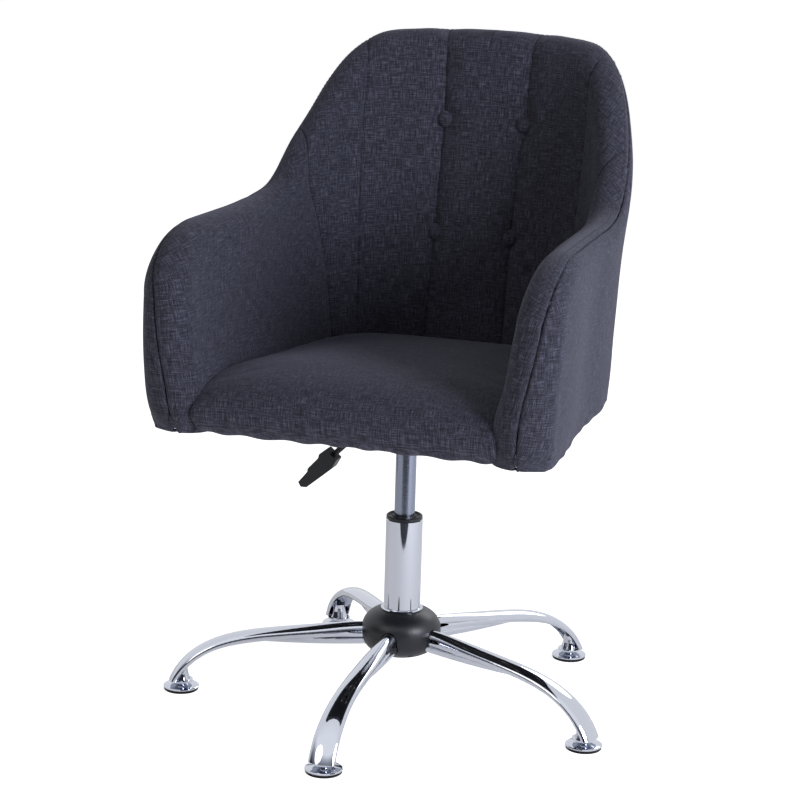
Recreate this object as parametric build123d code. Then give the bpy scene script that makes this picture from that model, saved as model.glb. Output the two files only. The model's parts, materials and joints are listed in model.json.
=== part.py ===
"""Upholstered tub chair on a swivel gas lift, with a five-leg base on fixed glides. Millimetres, +Z up.

The origin is on the floor, on the swivel axis. The chair faces -Y. The lift is shown fully extended.
Bodies: base (legs, hub, column), rod (piston rod that swivels in the column), seat (lift tube, plate and
tub), lever and valve pin.
"""
from build123d import *
from math import atan2, cos, radians, sin
import os

# ---- base ----
LEG_COUNT = 5
GLIDE_CIRCLE = 300.0          # radius from the swivel axis to each glide
HUB_RADIUS = 31.0             # outside of the steel hub sleeve
HUB_BOTTOM, HUB_TOP = 69.0, 121.0
COVER_RADIUS = 54.0           # plastic hub cover, a squashed ball split at mid height
COVER_HALF_HEIGHT = 34.0
COVER_SEAM_Z = 95.0
COVER_WALL = 2.5
COVER_POWER = 2.5
LEG_GAP = 0.8                 # space between a leg and the cover round it

# ---- gas lift ----
COLUMN_RADIUS = 25.0
COLUMN_FOOT_RADIUS = 23.6     # small end of the column's taper, in the hub
COLUMN_BOTTOM, COLUMN_TOP = 66.0, 254.0
TAPER_TOP = 126.0
BUSH_FLANGE_TOP = 258.5
TUBE_RADIUS = 14.0            # pressure tube, 28 mm
TUBE_BORE = 12.0
TUBE_BOTTOM, TUBE_TOP = 165.0, 382.0
SOCKET_BOTTOM, SOCKET_TOP = 356.0, 381.0
TUBE_TAPER_RADIUS = 13.3      # small end of the tube's top taper
RUNNING_GAP = 0.05
ROD_RADIUS = 5.0
ROD_TAIL_RADIUS = 4.0
ROD_SHOULDER_Z = 78.0
PISTON_BOTTOM, PISTON_TOP = 183.0, 197.0

# ---- swivel plate and lever ----
PLATE_TOP = 410.0
PLATE_THICKNESS = 2.5
PLATE_X, PLATE_Y = 176.0, 196.0
BOLT_X, BOLT_Y = 70.0, 80.0   # half spacings of the four bolts
HOUSING_X, HOUSING_Y = 60.0, 108.0
HOUSING_BOTTOM = 364.0
LEVER_ROD_RADIUS = 4.0
LEVER_Z = 393.0
LEVER_PIVOT_X = -31.25
LEVER_BEND_X = -41.0
LEVER_DROP = 64.0             # how far the rod falls at 45 degrees before the paddle
LEVER_ROCK_GAP = 0.9          # lets the rod rock in its bush
PIVOT_RADIUS = 1.5            # cross pin through the rod and the bush
PIVOT_LENGTH = 12.6
PIN_RADIUS = 3.5              # valve pin
PIN_GAP = 0.45                # free travel between the lever and the valve pin
SOCKET_OUT = 19.0

# ---- tub ----
TUB_BOTTOM, TUB_TOP = 411.0, 880.0
BOARD_THICKNESS = 15.0
SIDE_BOARD_IN, SIDE_BOARD_OUT = 222.0, 234.0
BACK_BOARD_OFFSET = 22.0      # depth of the bent back board below the outside
BACK_BOARD_THICKNESS = 8.0
SEAM_DROP = 16.0              # the outside cover ends this far below the rolled edge
ARM_BACK_SPLIT_Y = 60.0
CLEAR = 0.3
FRONT_FACE_Y = -300.0         # beyond the front of the arms, trimmed by the side profile

# height, half width at the front, half width at the middle, rear reach, corner size in x and y
OUTSIDE = [
    (405.0, 248.0, 248.0, 304.0, 180.0, 210.0),
    (620.0, 272.0, 259.0, 342.0, 200.0, 260.0),
    (885.0, 284.0, 282.0, 386.0, 220.0, 300.0),
]
INSIDE = [
    (405.0, 190.0, 190.0, 226.0, 130.0, 160.0),
    (620.0, 214.0, 207.0, 278.0, 150.0, 210.0),
    (890.0, 240.0, 232.0, 334.0, 180.0, 250.0),
]
# side view of the rolled edge: y, z, then the direction an inset moves the point
EDGE = [
    (-250, 411, 1, 0), (-276, 500, 1, 0), (-272, 590, 1, -0.2), (-215, 659, 0.5, -1),
    (-60, 669, 0, -1), (80, 674, 0, -1), (183, 733, 0.7, -0.7), (264, 817, 0.7, -0.7),
    (320, 872, 0.4, -1), (360, 880, 0, -1),
]
# front view of the top corners of the back, one side: x, z
TOP_CORNER = [(420, 395), (420, 730), (240, 800), (196, 880)]
TOP_CORNER_RADIUS = 60.0
CUSHION_SIDE = 0.8            # gap between the cushion and the arms
# side view of the cushion's top, from the front edge to the back: y, z
CUSHION_TOP = [(-252, 411), (-271, 440), (-264, 478), (-228, 495), (-120, 497), (60, 478), (260, 456)]
BUTTONS = [(58.0, 264.0, 594.0), (60.0, 310.0, 753.0)]
BUTTON_RADIUS = 12.0
BUTTON_TILT = 75.5            # turns the button's face square to the leaning back
TIE_LENGTH = 12.0


def ring(outer, inner, bottom, top):
    """Plain washer or sleeve on the swivel axis."""
    return Pos(0, 0, (bottom + top) / 2) * (
        Cylinder(outer, top - bottom) - Cylinder(inner, top - bottom + 2)
    )


def turned(points):
    """Solid of revolution about the swivel axis from a closed outline of (radius, z) points."""
    outline = make_face(Polyline([(r, 0, z) for r, z in points], close=True))
    return revolve(outline, Axis.Z)


def around(shape, count, start=0.0):
    """The shape turned about the swivel axis to count even places."""
    return [Rot(0, 0, start + 360 / count * i) * shape for i in range(count)]


# ---------------------------------------------------------------- legs and hub
# distance out, height, slope down in degrees, width, height of the section
LEG_STATIONS = [
    (27, 94.2, 3.5, 27, 20), (120, 88.6, 4.5, 27, 20), (200, 80, 9.5, 29, 17),
    (246, 68.7, 22, 31.5, 16), (280, 50.5, 39, 34.5, 14.8), (302, 27, 57, 36, 14.5), (311.5, 9, 70, 36, 14),
]
KEEL_STATIONS = [(27, 84.2, 2.0, 23, 19), (120, 80.8, 2.5, 22, 18), (204, 77.0, 2.5, 7, 8)]
TUBE_HOLLOW = [(20, 94.4, 3.5, 22, 15), (120, 88.6, 4.5, 22, 15), (178, 83.0, 7.5, 18, 10)]
CHANNEL_HOLLOW = [
    (205, 69.0, 10, 12, 6), (241, 65.0, 22, 25, 14), (274, 46.5, 39, 29, 18), (296.5, 23.5, 57, 31, 19),
    (306, 6, 70, 31, 19),
]
FOOT_CUT_Z = 15.0


def leg_section(station, grow=0.0):
    """One oval section of a leg, square to the leg's slope."""
    out, height, slope, width, tall = station
    normal = (cos(radians(slope)), 0, -sin(radians(slope)))
    plane = Plane(origin=(out, 0, height), x_dir=(0, 1, 0), z_dir=normal)
    return plane * Ellipse(width / 2 + grow, tall / 2 + grow)


def leg_outside(grow=0.0):
    """Upper tube with the keel under its inner half."""
    tube = loft([leg_section(s, grow) for s in LEG_STATIONS])
    keel = loft([leg_section(s, grow) for s in KEEL_STATIONS])
    return tube + keel


def make_leg():
    """Pressed steel leg: closed tube at the hub, open channel at the foot."""
    leg = leg_outside()
    leg -= loft([leg_section(s) for s in TUBE_HOLLOW])
    leg -= loft([leg_section(s) for s in CHANNEL_HOLLOW])
    leg -= Pos(0, 0, (HUB_BOTTOM + HUB_TOP) / 2) * Cylinder(HUB_RADIUS, 80)
    leg -= Pos(310, 0, FOOT_CUT_Z - 25) * Box(80, 60, 50)
    return leg.solids().sort_by(SortBy.VOLUME)[-1]


def cone_bore(z):
    """Radius of the column's outside at height z inside the hub."""
    share = (z - COLUMN_BOTTOM) / (TAPER_TOP - COLUMN_BOTTOM)
    return COLUMN_FOOT_RADIUS + (COLUMN_RADIUS - COLUMN_FOOT_RADIUS) * share


def make_hub_sleeve():
    """Steel sleeve with the tapered bore that grips the column."""
    return turned([
        (HUB_RADIUS, HUB_BOTTOM), (HUB_RADIUS, HUB_TOP), (cone_bore(HUB_TOP), HUB_TOP),
        (cone_bore(HUB_BOTTOM), HUB_BOTTOM),
    ])


def ball_points(shrink, hole):
    """Half outline of the squashed ball, from the top hole to the bottom hole."""
    radius, tall = COVER_RADIUS - shrink, COVER_HALF_HEIGHT - shrink
    start = (1 - (hole / radius) ** COVER_POWER) ** (1 / COVER_POWER)
    first = atan2(start ** (COVER_POWER / 2), (hole / radius) ** (COVER_POWER / 2))
    points = []
    for i in range(17):
        t = first - 2 * first * i / 16
        up = abs(sin(t)) ** (2 / COVER_POWER) * (1 if t > 0 else -1)
        points.append((radius * cos(t) ** (2 / COVER_POWER), 0, COVER_SEAM_Z + tall * up))
    return points


def make_cover_halves():
    """Upper and lower plastic hub covers, with screw bosses and a mouth for each leg."""
    outer = Spline(ball_points(0, 27))
    inner = Spline(ball_points(COVER_WALL, 27))
    shell = make_face([outer, inner, Line(outer @ 0, inner @ 0), Line(outer @ 1, inner @ 1)])
    cover = revolve(shell, Axis.Z)
    middle = Spline(ball_points(COVER_WALL / 2, 27))
    axis_top, axis_low = (0, 0, (middle @ 0).Z), (0, 0, (middle @ 1).Z)
    core = make_face([
        middle, Line(middle @ 1, axis_low), Line(axis_low, axis_top), Line(axis_top, middle @ 0),
    ])
    inside = revolve(core, Axis.Z) - Pos(0, 0, COVER_SEAM_Z) * Cylinder(HUB_RADIUS + 1, 80)
    boss = Pos(42, 0, COVER_SEAM_Z) * Cylinder(4, 80)
    bosses = [b & inside for b in around(boss, LEG_COUNT, 270 + 36)]
    cover = cover + bosses
    cover = cover - around(leg_outside(LEG_GAP), LEG_COUNT, 270)
    upper = cover & Pos(0, 0, COVER_SEAM_Z + 50.1) * Box(200, 200, 100)
    lower = cover & Pos(0, 0, COVER_SEAM_Z - 50.1) * Box(200, 200, 100)
    upper = upper - around(Pos(42, 0, COVER_SEAM_Z + 4) * Cylinder(1.5, 12), LEG_COUNT, 306)
    lower = lower - around(Pos(42, 0, COVER_SEAM_Z - 15) * Cylinder(1.8, 34), LEG_COUNT, 306)
    lower = lower - around(Pos(42, 0, 67.25) * Cylinder(3.4, 16.5), LEG_COUNT, 306)
    return upper.solids().sort_by(SortBy.VOLUME)[-1], lower.solids().sort_by(SortBy.VOLUME)[-1]


def make_cover_screws():
    """Self-tapping screws that pull the lower cover to the upper one."""
    screw = Pos(42, 0, 86) * Cylinder(1.5, 23) + Pos(42, 0, 74.2) * Cylinder(3.0, 2.4)
    return Compound(around(screw, LEG_COUNT, 306))


# ---------------------------------------------------------------- glides
def make_foot_parts(leg):
    """Socket, stem, disc and pad under each leg."""
    place = Pos(GLIDE_CIRCLE, 0, 0)
    bell = turned([(4.0, 12.6), (16.0, 12.6), (16.0, 14.6), (12.2, 14.8), (9.5, 24), (8.0, 34), (4.0, 34)])
    socket = place * bell - leg
    socket = socket.solids().sort_by(SortBy.VOLUME)[-1]
    stem = place * (Pos(0, 0, 16.5) * Cylinder(4.0, 18))
    disc = place * turned([
        (4.0, 5), (22.4, 3.6), (24.4, 4.2), (24.4, 5.4), (23.4, 6.2), (12, 8.2), (8.6, 10), (8.0, 12.4),
        (4.0, 12.4),
    ])
    pad = place * turned([(0, 0), (22.8, 0), (23.6, 0.8), (23.6, 3.0), (22.0, 3.4), (0, 4.6)])
    names = {"foot_sockets": socket, "glide_stems": stem, "glide_discs": disc, "glide_pads": pad}
    return {name: Compound(around(shape, LEG_COUNT, 270)) for name, shape in names.items()}


# ---------------------------------------------------------------- gas lift
def make_column_tube():
    """Chromed outer tube with a tapered foot and a base plate for the bearing."""
    wall = 1.6
    body = turned([
        (COLUMN_FOOT_RADIUS, COLUMN_BOTTOM), (COLUMN_RADIUS, TAPER_TOP), (COLUMN_RADIUS, COLUMN_TOP - 1),
        (COLUMN_RADIUS - 1, COLUMN_TOP), (COLUMN_RADIUS - wall, COLUMN_TOP),
        (COLUMN_RADIUS - wall, TAPER_TOP), (COLUMN_FOOT_RADIUS - wall, COLUMN_BOTTOM),
    ])
    return body + ring(COLUMN_FOOT_RADIUS - 0.8, 4.6, 69, 72)


def make_guide_bush():
    """Black plastic sleeve that guides the pressure tube."""
    bore = TUBE_RADIUS + RUNNING_GAP
    outside = COLUMN_RADIUS - 1.6
    return turned([
        (bore, 175), (outside, 175), (outside, COLUMN_TOP), (COLUMN_RADIUS - 0.4, COLUMN_TOP),
        (COLUMN_RADIUS - 0.4, BUSH_FLANGE_TOP - 1), (COLUMN_RADIUS - 1.4, BUSH_FLANGE_TOP),
        (21.6, BUSH_FLANGE_TOP), (20.8, BUSH_FLANGE_TOP - 1.6), (16.6, BUSH_FLANGE_TOP - 1.6),
        (16.0, BUSH_FLANGE_TOP), (bore, BUSH_FLANGE_TOP),
    ])


def make_piston_rod():
    """Ground steel rod with a shoulder on the bearing and a groove for its clip."""
    rod = Pos(0, 0, (ROD_SHOULDER_Z + PISTON_TOP) / 2) * Cylinder(ROD_RADIUS, PISTON_TOP - ROD_SHOULDER_Z)
    tail = Pos(0, 0, (62.5 + ROD_SHOULDER_Z) / 2) * Cylinder(ROD_TAIL_RADIUS, ROD_SHOULDER_Z - 62.5)
    return rod + tail - ring(6, 3.2, 64.3, 65.5)


def make_bearing():
    """Thrust bearing between the rod's shoulder and the column's base plate."""
    pitch, ball, count, height = 9.2, 1.49, 12, 75.0
    balls = around(Pos(pitch, 0, height) * Sphere(ball), count)
    pockets = around(Pos(pitch, 0, height) * Cylinder(ball + 0.05, 4), count)
    return {
        "bearing_lower_washer": ring(13, 4.6, 72, 73.5),
        "bearing_balls": Compound(balls),
        "bearing_cage": ring(12.4, 6.0, 74.4, 75.6) - pockets,
        "bearing_upper_washer": ring(13, ROD_TAIL_RADIUS + 0.05, 76.5, ROD_SHOULDER_Z),
    }


def make_pressure_tube():
    """Steel tube with a tapered top that locks in the swivel plate's socket."""
    return turned([
        (TUBE_BORE, TUBE_BOTTOM), (TUBE_RADIUS - 0.6, TUBE_BOTTOM), (TUBE_RADIUS, TUBE_BOTTOM + 1),
        (TUBE_RADIUS, SOCKET_BOTTOM), (TUBE_TAPER_RADIUS, TUBE_TOP), (PIN_RADIUS + 1, TUBE_TOP),
        (PIN_RADIUS + 1, TUBE_TOP - 4), (TUBE_BORE, TUBE_TOP - 4),
    ])


def tube_outside(z):
    """Outside radius of the pressure tube at a height in its taper."""
    share = (z - SOCKET_BOTTOM) / (TUBE_TOP - SOCKET_BOTTOM)
    return TUBE_RADIUS + (TUBE_TAPER_RADIUS - TUBE_RADIUS) * share


def make_gas_lift():
    """Everything of the lift that is not base, bearing or pin."""
    piston = ring(TUBE_BORE - RUNNING_GAP, ROD_RADIUS, PISTON_BOTTOM, PISTON_TOP)
    groove = ring(TUBE_BORE + 1, TUBE_BORE - 2, 188.5, 191.5)
    valve_top = TUBE_TOP - 4
    pin_top = LEVER_Z - LEVER_ROD_RADIUS - PIN_GAP
    return {
        "column_tube": make_column_tube(),
        "guide_bush": make_guide_bush(),
        "piston_rod": make_piston_rod(),
        "piston": piston - groove,
        "piston_seal": ring(TUBE_BORE - 0.03, TUBE_BORE - 2, 188.6, 191.4),
        "bump_stop": turned([(5.1, 78.6), (11, 78.6), (9, 83.5), (11, 88), (5.1, 88)]),
        "rod_washer": ring(11, ROD_TAIL_RADIUS + 0.1, 65.8, 68.8),
        "rod_clip": ring(7, 3.25, 64.4, 65.4) - Pos(6, 0, 65) * Box(12, 5, 3),
        "pressure_tube": make_pressure_tube(),
        "rod_guide": ring(TUBE_BORE, ROD_RADIUS + RUNNING_GAP, 166, 177),
        "rod_seal": ring(TUBE_BORE, ROD_RADIUS + 0.03, 177, 182),
        "valve_body": ring(TUBE_BORE, PIN_RADIUS + 0.1, 348, valve_top),
        "valve_pin": turned([
            (0, 344), (PIN_RADIUS, 344), (PIN_RADIUS, pin_top - 0.8), (PIN_RADIUS - 0.8, pin_top), (0, pin_top),
        ]),
    }


# ---------------------------------------------------------------- swivel plate and lever
def make_swivel_plate():
    """Pressed steel plate, its edge ribs and the channel welded under it."""
    z = PLATE_TOP - PLATE_THICKNESS / 2
    sheet = Pos(0, 0, z) * extrude(RectangleRounded(PLATE_X, PLATE_Y, 16), PLATE_THICKNESS / 2, both=True)
    holes = [Pos(x, y, z) * Cylinder(3.6, 10) for x in (-BOLT_X, BOLT_X) for y in (-BOLT_Y, BOLT_Y)]
    rib_x, rib_tall = 46.0, 7.0
    for side in (-1, 1):
        rib = Pos(side * rib_x, 0, PLATE_TOP - PLATE_THICKNESS) * extrude(SlotOverall(150, 10, 90), -rib_tall)
        sheet += rib
    return sheet - holes - Pos(0, 0, z) * Cylinder(20, 10)


def make_housing():
    """Folded channel under the plate, open at the front and back."""
    low, high, wall = HOUSING_BOTTOM, PLATE_TOP - PLATE_THICKNESS, 2.5
    mid, tall = (low + high) / 2, high - low
    channel = Pos(0, 0, mid) * Box(HOUSING_X + 2 * wall, HOUSING_Y, tall)
    channel -= Pos(0, 0, mid + wall) * Box(HOUSING_X, HOUSING_Y + 2, tall)
    channel -= Pos(0, 0, low) * Cylinder(SOCKET_OUT, 20)
    channel -= Pos(LEVER_PIVOT_X, 0, LEVER_Z) * (Rot(0, 90, 0) * Cylinder(7.0, 8))
    for side in (-1, 1):
        channel -= Pos(0, side * HOUSING_Y / 2, low - 1) * (Rot(0, 0, 45) * Box(14, 14, 10))
    return channel


def make_taper_socket():
    """Welded socket that takes the tube's taper."""
    return turned([
        (SOCKET_OUT, SOCKET_BOTTOM), (SOCKET_OUT, SOCKET_TOP), (tube_outside(SOCKET_TOP), SOCKET_TOP),
        (tube_outside(SOCKET_BOTTOM), SOCKET_BOTTOM),
    ])


def make_lever_bush():
    """Nylon bush in the housing wall, wide enough for the rod to rock on its cross pin."""
    bush = Rot(0, 90, 0) * (Pos(0, 0, 2) * Cylinder(7.0, 8) + Pos(0, 0, -2.6) * Cylinder(9.0, 1.4))
    bore = Rot(0, 90, 0) * Cylinder(LEVER_ROD_RADIUS + LEVER_ROCK_GAP, 24)
    pin_hole = Rot(90, 0, 0) * Cylinder(PIVOT_RADIUS + RUNNING_GAP, PIVOT_LENGTH + 0.6)
    return Pos(LEVER_PIVOT_X, 0, LEVER_Z) * (bush - bore - pin_hole)


def make_lever_rod():
    """Black rod with its cross pin: level through the housing, then down at 45 degrees to the paddle."""
    end = (LEVER_BEND_X - LEVER_DROP - 26, 0, LEVER_Z - LEVER_DROP - 26)
    path = FilletPolyline((8, 0, LEVER_Z), (LEVER_BEND_X, 0, LEVER_Z), end, radius=9)
    start = Plane(origin=(8, 0, LEVER_Z), z_dir=(-1, 0, 0))
    rod = sweep(start * Circle(LEVER_ROD_RADIUS), path)
    return rod + Pos(LEVER_PIVOT_X, 0, LEVER_Z) * (Rot(90, 0, 0) * Cylinder(PIVOT_RADIUS, PIVOT_LENGTH))


def make_paddle(rod):
    """Moulded grip, wide at the rod, thin at the tip, with a stepped under side."""
    top = [(-4, 9), (10, 13), (56, 9), (62, 3)]
    low = [(60, -4), (40, -6), (36, -9), (14, -10), (10, -13), (-2, -12)]
    side = make_face(Polyline([(u, v) for u, v in top + low], close=True))
    grip = extrude(side, 11, both=True)
    grip = fillet(grip.edges().filter_by(Axis.Z), 1.6)
    turn = Plane(
        origin=(LEVER_BEND_X - LEVER_DROP, 0, LEVER_Z - LEVER_DROP),
        x_dir=(-1, 0, -1), z_dir=(0, -1, 0),
    )
    return turn * grip - rod


def make_fasteners():
    """Bolts, washers and tee nuts that hold the plate to the seat board."""
    places = [(x, y) for x in (-BOLT_X, BOLT_X) for y in (-BOLT_Y, BOLT_Y)]
    plate_low = PLATE_TOP - PLATE_THICKNESS
    washer = ring(7.5, 3.2, plate_low - 1.4, plate_low)
    head = Pos(0, 0, plate_low - 1.4) * extrude(RegularPolygon(5.77, 6), -4.2)
    shank = Pos(0, 0, (plate_low - 1.4 + 424) / 2) * Cylinder(3.0, 424 - plate_low + 1.4)
    nut = ring(4.0, 3.02, 412, 426) + ring(10, 3.02, 426, 427.5)
    return {
        "plate_bolts": Compound([Pos(x, y, 0) * (head + shank) for x, y in places]),
        "plate_washers": Compound([Pos(x, y, 0) * washer for x, y in places]),
        "tee_nuts": Compound([Pos(x, y, 0) * nut for x, y in places]),
    }


# ---------------------------------------------------------------- tub
def plan_outline(level, inset=0.0):
    """Horizontal outline of the tub at one height: straight flared sides and a rounded rear."""
    z, front, middle, rear, corner_x, corner_y = level
    front, middle, rear = front - inset, middle - inset, rear - inset
    corner_x, corner_y = corner_x - inset, corner_y - inset
    centre_x, centre_y = middle - corner_x, rear - corner_y
    plane = Plane(origin=(0, 0, z))
    right = plane * Pos(centre_x, centre_y) * EllipticalCenterArc((0, 0), corner_x, corner_y, 0, arc_size=90)
    left = plane * Pos(-centre_x, centre_y) * EllipticalCenterArc((0, 0), corner_x, corner_y, 90, arc_size=90)
    start = Line((front, FRONT_FACE_Y, z), right @ 0)
    end = Line(left @ 1, (-front, FRONT_FACE_Y, z))
    return make_face([start, right, Line(right @ 1, left @ 0), left, end, Line(end @ 1, start @ 0)])


def tub_volume(levels, inset=0.0):
    """Solid between the outlines at all the heights."""
    return loft([plan_outline(level, inset) for level in levels], ruled=True)


def edge_volume(inset, clear=0.0):
    """Everything below and behind the rolled edge in side view, and inside the top corners."""
    depth = inset - clear
    points = [(0, y + depth * move_y, z + depth * move_z) for y, z, move_y, move_z in EDGE]
    points[0] = (0, points[0][1], 395)
    edge = Spline(points)
    last = edge @ 1
    rest = Polyline(last, (0, 450, last.Z), (0, 450, 395), edge @ 0)
    side = extrude(make_face([edge, rest]), 400, both=True, dir=(1, 0, 0))
    corner = [(x - depth, 0, z - depth) for x, z in TOP_CORNER[1:]]
    low = TOP_CORNER[0]
    half = [(low[0], 0, low[1])] + corner
    points = half + [(-x, 0, z) for x, y, z in reversed(half)]
    radii = [1.0, TOP_CORNER_RADIUS, TOP_CORNER_RADIUS]
    outline = FilletPolyline(*points, radius=radii + radii[::-1])
    front = extrude(make_face([outline, Line(outline @ 1, outline @ 0)]), 500, both=True, dir=(0, 1, 0))
    return side & front


def slab(x0, x1, y0, y1, z0, z1):
    """Box from its lowest and highest corners."""
    return Pos((x0 + x1) / 2, (y0 + y1) / 2, (z0 + z1) / 2) * Box(x1 - x0, y1 - y0, z1 - z0)


def biggest(shape):
    """Largest solid of a cut, without crumbs."""
    return shape.solids().sort_by(SortBy.VOLUME)[-1]


def make_tub():
    """Boards, inside pads and outside pads of the arms and back."""
    outside = tub_volume(OUTSIDE)
    board_face = tub_volume(OUTSIDE, BACK_BOARD_OFFSET)
    board_rear = tub_volume(OUTSIDE, BACK_BOARD_OFFSET + BACK_BOARD_THICKNESS)
    hollow = tub_volume(INSIDE)
    edge = edge_volume(0)
    lower_edge = edge_volume(SEAM_DROP)
    board_edge = edge_volume(SEAM_DROP + 10)
    seam_gap = edge_volume(SEAM_DROP, CLEAR)
    board_top = TUB_BOTTOM + BOARD_THICKNESS
    wall = (outside - hollow) & edge & slab(-400, 400, -400, 400, TUB_BOTTOM, 900)
    rear = slab(-400, 400, ARM_BACK_SPLIT_Y + CLEAR, 450, 380, 900)
    parts = {}
    for name, side in (("left", -1), ("right", 1)):
        arm_box = slab(*sorted((side * 100, side * 400)), -400, ARM_BACK_SPLIT_Y, 380, 900)
        arm = wall & arm_box
        beyond_board = slab(*sorted((side * (SIDE_BOARD_OUT + CLEAR), side * 400)), -400, 100, 380, 900)
        beyond_pad = slab(*sorted((side * (SIDE_BOARD_IN - CLEAR), side * 400)), -400, 100, 380, 900)
        parts["outer_arm_cover_" + name] = biggest(arm & lower_edge & beyond_board)
        board_x = sorted((side * SIDE_BOARD_IN, side * SIDE_BOARD_OUT))
        board_slab = slab(*board_x, -238, ARM_BACK_SPLIT_Y, TUB_BOTTOM, 900)
        parts["side_board_" + name] = biggest(board_slab & board_edge)
        under = slab(-400, 400, -240, 100, 380, board_top + CLEAR)
        parts["arm_pad_" + name] = biggest(arm - (seam_gap & beyond_pad) - under)
    back = wall & rear
    parts["outer_back_cover"] = biggest((back & lower_edge) - tub_volume(OUTSIDE, BACK_BOARD_OFFSET - CLEAR))
    above_bottom = slab(-400, 400, 0, 450, TUB_BOTTOM, 900)
    parts["back_board"] = biggest((board_face - board_rear) & board_edge & rear & above_bottom)
    inner_limit = tub_volume(OUTSIDE, BACK_BOARD_OFFSET + BACK_BOARD_THICKNESS + CLEAR)
    pad = back - (seam_gap - inner_limit) - slab(-400, 400, 0, 450, 380, board_top + CLEAR)
    parts["back_pad"] = biggest(pad)
    return parts


def make_seat_board():
    """Plywood base of the tub, drilled for the tee nuts and side screws."""
    flat = slab(-SIDE_BOARD_IN, SIDE_BOARD_IN, -236, 400, TUB_BOTTOM, TUB_BOTTOM + BOARD_THICKNESS)
    board = flat & tub_volume(OUTSIDE, BACK_BOARD_OFFSET + BACK_BOARD_THICKNESS + CLEAR)
    for x in (-BOLT_X, BOLT_X):
        for y in (-BOLT_Y, BOLT_Y):
            board -= Pos(x, y, 418) * Cylinder(4.0, 30)
    return biggest(board)


def make_side_screws():
    """Wood screws through the side boards into the seat board's edge."""
    screws = []
    for side in (-1, 1):
        for y in (-190, -90, 10):
            shank = Pos(side * (SIDE_BOARD_OUT - 17.5), y, 418.5) * (Rot(0, 90, 0) * Cylinder(2.0, 35))
            head = Pos(side * (SIDE_BOARD_OUT - 1.25), y, 418.5) * (Rot(0, 90, 0) * Cylinder(3.8, 2.5))
            screws.append(shank + head)
    return screws


def make_dust_cover():
    """Black non-woven sheet stapled under the tub."""
    sheet = extrude(plan_outline(OUTSIDE[0], 14), 1.0)
    sheet = Pos(0, 0, TUB_BOTTOM - 1 - OUTSIDE[0][0]) * sheet & slab(-400, 400, -236, 400, 400, 420)
    for x in (-BOLT_X, BOLT_X):
        for y in (-BOLT_Y, BOLT_Y):
            sheet -= Pos(x, y, 410) * Cylinder(3.6, 8)
    return sheet


def make_cushion():
    """Foam seat cushion that rolls over the front edge of the board."""
    top = Spline([(0, y, z) for y, z in CUSHION_TOP])
    rest = Polyline(top @ 1, (0, 260, 427.8), (0, -238, 427.8), (0, -238, 411), top @ 0)
    side = extrude(make_face([top, rest]), 300, both=True, dir=(1, 0, 0))
    body = side & tub_volume(INSIDE, CUSHION_SIDE)
    for x in (-BOLT_X, BOLT_X):
        for y in (-BOLT_Y, BOLT_Y):
            body -= Pos(x, y, 427) * Cylinder(10.4, 4)
    return biggest(body)


def make_buttons():
    """Covered buttons with the ties that pull them into the back, and the holes they need."""
    buttons, ties, pockets = [], [], []
    for side in (-1, 1):
        for x, y, z in BUTTONS:
            lean = Pos(side * x, y, z) * Rot(BUTTON_TILT, 0, 0)
            body = Pos(0, 0, -2) * Cylinder(BUTTON_RADIUS, 5)
            crown = Pos(0, 0, 1.5) * Cylinder(BUTTON_RADIUS - 3, 2)
            buttons.append(lean * (body + crown))
            ties.append(lean * (Pos(0, 0, -4.5 - TIE_LENGTH / 2) * Cylinder(1.0, TIE_LENGTH)))
            pockets.append(lean * (Pos(0, 0, 10) * Cylinder(BUTTON_RADIUS + CLEAR, 29.0 + 2 * CLEAR)))
            pockets.append(lean * (Pos(0, 0, -4.5 - TIE_LENGTH / 2) * Cylinder(1.3, TIE_LENGTH + 1)))
    return buttons, ties, pockets


def make_parts():
    """All the nodes by name."""
    leg = make_leg()
    legs = around(leg, LEG_COUNT, 270)
    parts = {"leg_%d" % (i + 1): legs[i] for i in range(LEG_COUNT)}
    parts["hub_sleeve"] = make_hub_sleeve()
    parts["hub_cover_upper"], parts["hub_cover_lower"] = make_cover_halves()
    parts["hub_cover_screws"] = make_cover_screws()
    parts["column_collar"] = turned([
        (25.1, 124), (26.7, 124), (26.7, 126.8), (28.4, 126.8), (28.7, 127.6), (27.6, 128.8), (25.1, 129.2),
    ])
    parts.update(make_foot_parts(leg))
    parts.update(make_gas_lift())
    parts.update(make_bearing())
    parts["swivel_plate"] = make_swivel_plate()
    parts["lever_housing"] = make_housing()
    parts["taper_socket"] = make_taper_socket()
    parts["lever_bush"] = make_lever_bush()
    parts["lever_rod"] = make_lever_rod()
    parts["lever_paddle"] = make_paddle(parts["lever_rod"])
    parts.update(make_fasteners())
    tub = make_tub()
    parts.update(tub)
    screws = make_side_screws()
    parts["seat_board"] = biggest(make_seat_board() - screws)
    for name in ("left", "right"):
        parts["side_board_" + name] = biggest(parts["side_board_" + name] - screws)
    parts["side_screws"] = Compound(screws)
    parts["dust_cover"] = make_dust_cover()
    parts["seat_cushion"] = make_cushion()
    buttons, ties, pockets = make_buttons()
    parts["back_pad"] = biggest(parts["back_pad"] - pockets)
    parts["back_buttons"] = Compound(buttons)
    parts["button_ties"] = Compound(ties)
    return parts


os.makedirs("parts", exist_ok=True)
for node, shape in make_parts().items():
    export_step(shape, f"parts/{node}.step")
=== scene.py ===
"""Finished look of an upholstered swivel tub chair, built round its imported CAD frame. Metres, +Z up.

The chair faces -Y and stands on the floor at z = 0, with its swivel axis on Z. Along the tub's wall a place
is given by s, which is y beside the seat and the length of the wall from y = 0 round to the middle of the
back, and by its height. Left and right follow the CAD names: left is -X.
"""
import json
from math import cos, pi, sin

import bmesh
import bpy
import numpy as np
from mathutils import Matrix, Vector, noise


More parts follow.
